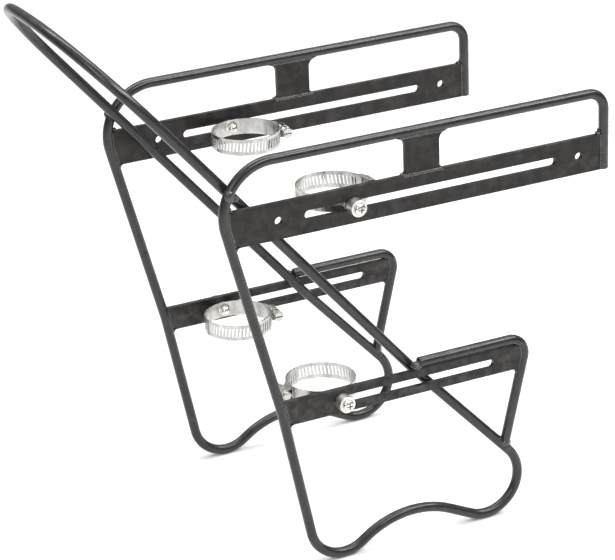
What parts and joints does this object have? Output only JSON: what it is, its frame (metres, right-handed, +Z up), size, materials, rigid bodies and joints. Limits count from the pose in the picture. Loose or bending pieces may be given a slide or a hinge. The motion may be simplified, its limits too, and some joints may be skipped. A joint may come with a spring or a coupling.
{
  "type": "bicycle low-rider pannier rack",
  "caption": "Low-rider pannier rack for a suspension fork: bent rod side frames with slotted bars, a hoop over the wheel, and hose clamps that slide in the slots to grip the fork legs.",
  "frame": {"origin": "middle of the rack's footprint, on the surface that its lower bends stand on", "axes": "+Z up, -X towards the hoop at the front, +Y towards the bicycle's right side; the wheel's plane is y = 0"},
  "size_m": [0.4352, 0.2456, 0.4469],
  "materials": {
    "rod_paint": "satin black powder coat on round rod",
    "plate_paint": "satin black powder coat on flat bar, fine texture",
    "band_steel": "bright rolled stainless strip",
    "housing_steel": "bright pressed stainless",
    "worm_steel": "zinc plated steel, threaded",
    "screw_steel": "polished stainless",
    "spacer_steel": "turned stainless"
  },
  "bodies": {
    "rack_frame": {"hoop_rod": "rod_paint", "left_side_rod": "rod_paint", "left_lower_rail": "rod_paint", "left_upper_bar": "plate_paint", "left_lower_bar": "plate_paint", "left_rail_tab": "plate_paint", "right_side_rod": "rod_paint", "right_lower_rail": "rod_paint", "right_upper_bar": "plate_paint", "right_lower_bar": "plate_paint", "right_rail_tab": "plate_paint"},
    "left_upper_clamp_carriage": {"left_upper_clamp_mounting_screw": "screw_steel", "left_upper_clamp_barrel_spacer": "spacer_steel", "left_upper_clamp_inner_washer": "spacer_steel"},
    "left_upper_clamp_ring": {"left_upper_clamp_band": "band_steel", "left_upper_clamp_worm_housing": "housing_steel", "left_upper_clamp_cap_nut": "screw_steel"},
    "left_upper_clamp_worm": {"left_upper_clamp_worm_screw": "worm_steel"},
    "left_lower_clamp_carriage": {"left_lower_clamp_mounting_screw": "screw_steel", "left_lower_clamp_barrel_spacer": "spacer_steel", "left_lower_clamp_inner_washer": "spacer_steel"},
    "left_lower_clamp_ring": {"left_lower_clamp_band": "band_steel", "left_lower_clamp_worm_housing": "housing_steel", "left_lower_clamp_cap_nut": "screw_steel"},
    "left_lower_clamp_worm": {"left_lower_clamp_worm_screw": "worm_steel"},
    "right_upper_clamp_carriage": {"right_upper_clamp_mounting_screw": "screw_steel", "right_upper_clamp_barrel_spacer": "spacer_steel", "right_upper_clamp_inner_washer": "spacer_steel"},
    "right_upper_clamp_ring": {"right_upper_clamp_band": "band_steel", "right_upper_clamp_worm_housing": "housing_steel", "right_upper_clamp_cap_nut": "screw_steel"},
    "right_upper_clamp_worm": {"right_upper_clamp_worm_screw": "worm_steel"},
    "right_lower_clamp_carriage": {"right_lower_clamp_mounting_screw": "screw_steel", "right_lower_clamp_barrel_spacer": "spacer_steel", "right_lower_clamp_inner_washer": "spacer_steel"},
    "right_lower_clamp_ring": {"right_lower_clamp_band": "band_steel", "right_lower_clamp_worm_housing": "housing_steel", "right_lower_clamp_cap_nut": "screw_steel"},
    "right_lower_clamp_worm": {"right_lower_clamp_worm_screw": "worm_steel"}
  },
  "joints": [
    {"name": "left_upper_clamp_slide", "type": "slide", "parent": "rack_frame", "child": "left_upper_clamp_carriage", "axis": [1, 0, 0], "range_m": [-0.037, 0.173]},
    {"name": "left_upper_clamp_tilt", "type": "hinge", "parent": "left_upper_clamp_carriage", "child": "left_upper_clamp_ring", "pos_m": [-0.00744, -0.0985, 0.2904], "axis": [0, 1, 0], "range_deg": [-30, 30]},
    {"name": "left_upper_clamp_worm_turn", "type": "hinge", "parent": "left_upper_clamp_ring", "child": "left_upper_clamp_worm", "pos_m": [0.02446, -0.074, 0.2904], "axis": [0, 1, 0], "continuous": true},
    {"name": "left_lower_clamp_slide", "type": "slide", "parent": "rack_frame", "child": "left_lower_clamp_carriage", "axis": [1, 0, 0], "range_m": [-0.004, 0.03]},
    {"name": "left_lower_clamp_tilt", "type": "hinge", "parent": "left_lower_clamp_carriage", "child": "left_lower_clamp_ring", "pos_m": [-0.02244, -0.0985, 0.134], "axis": [0, 1, 0], "range_deg": [-30, 30]},
    {"name": "left_lower_clamp_worm_turn", "type": "hinge", "parent": "left_lower_clamp_ring", "child": "left_lower_clamp_worm", "pos_m": [-0.05434, -0.074, 0.134], "axis": [0, 1, 0], "continuous": true},
    {"name": "right_upper_clamp_slide", "type": "slide", "parent": "rack_frame", "child": "right_upper_clamp_carriage", "axis": [1, 0, 0], "range_m": [-0.037, 0.173]},
    {"name": "right_upper_clamp_tilt", "type": "hinge", "parent": "right_upper_clamp_carriage", "child": "right_upper_clamp_ring", "pos_m": [-0.00744, 0.0985, 0.2904], "axis": [0, 1, 0], "range_deg": [-30, 30]},
    {"name": "right_upper_clamp_worm_turn", "type": "hinge", "parent": "right_upper_clamp_ring", "child": "right_upper_clamp_worm", "pos_m": [0.02446, 0.074, 0.2904], "axis": [0, 1, 0], "continuous": true},
    {"name": "right_lower_clamp_slide", "type": "slide", "parent": "rack_frame", "child": "right_lower_clamp_carriage", "axis": [1, 0, 0], "range_m": [-0.004, 0.03]},
    {"name": "right_lower_clamp_tilt", "type": "hinge", "parent": "right_lower_clamp_carriage", "child": "right_lower_clamp_ring", "pos_m": [-0.02244, 0.0985, 0.134], "axis": [0, 1, 0], "range_deg": [-30, 30]},
    {"name": "right_lower_clamp_worm_turn", "type": "hinge", "parent": "right_lower_clamp_ring", "child": "right_lower_clamp_worm", "pos_m": [0.00946, 0.074, 0.134], "axis": [0, 1, 0], "continuous": true}
  ]
}
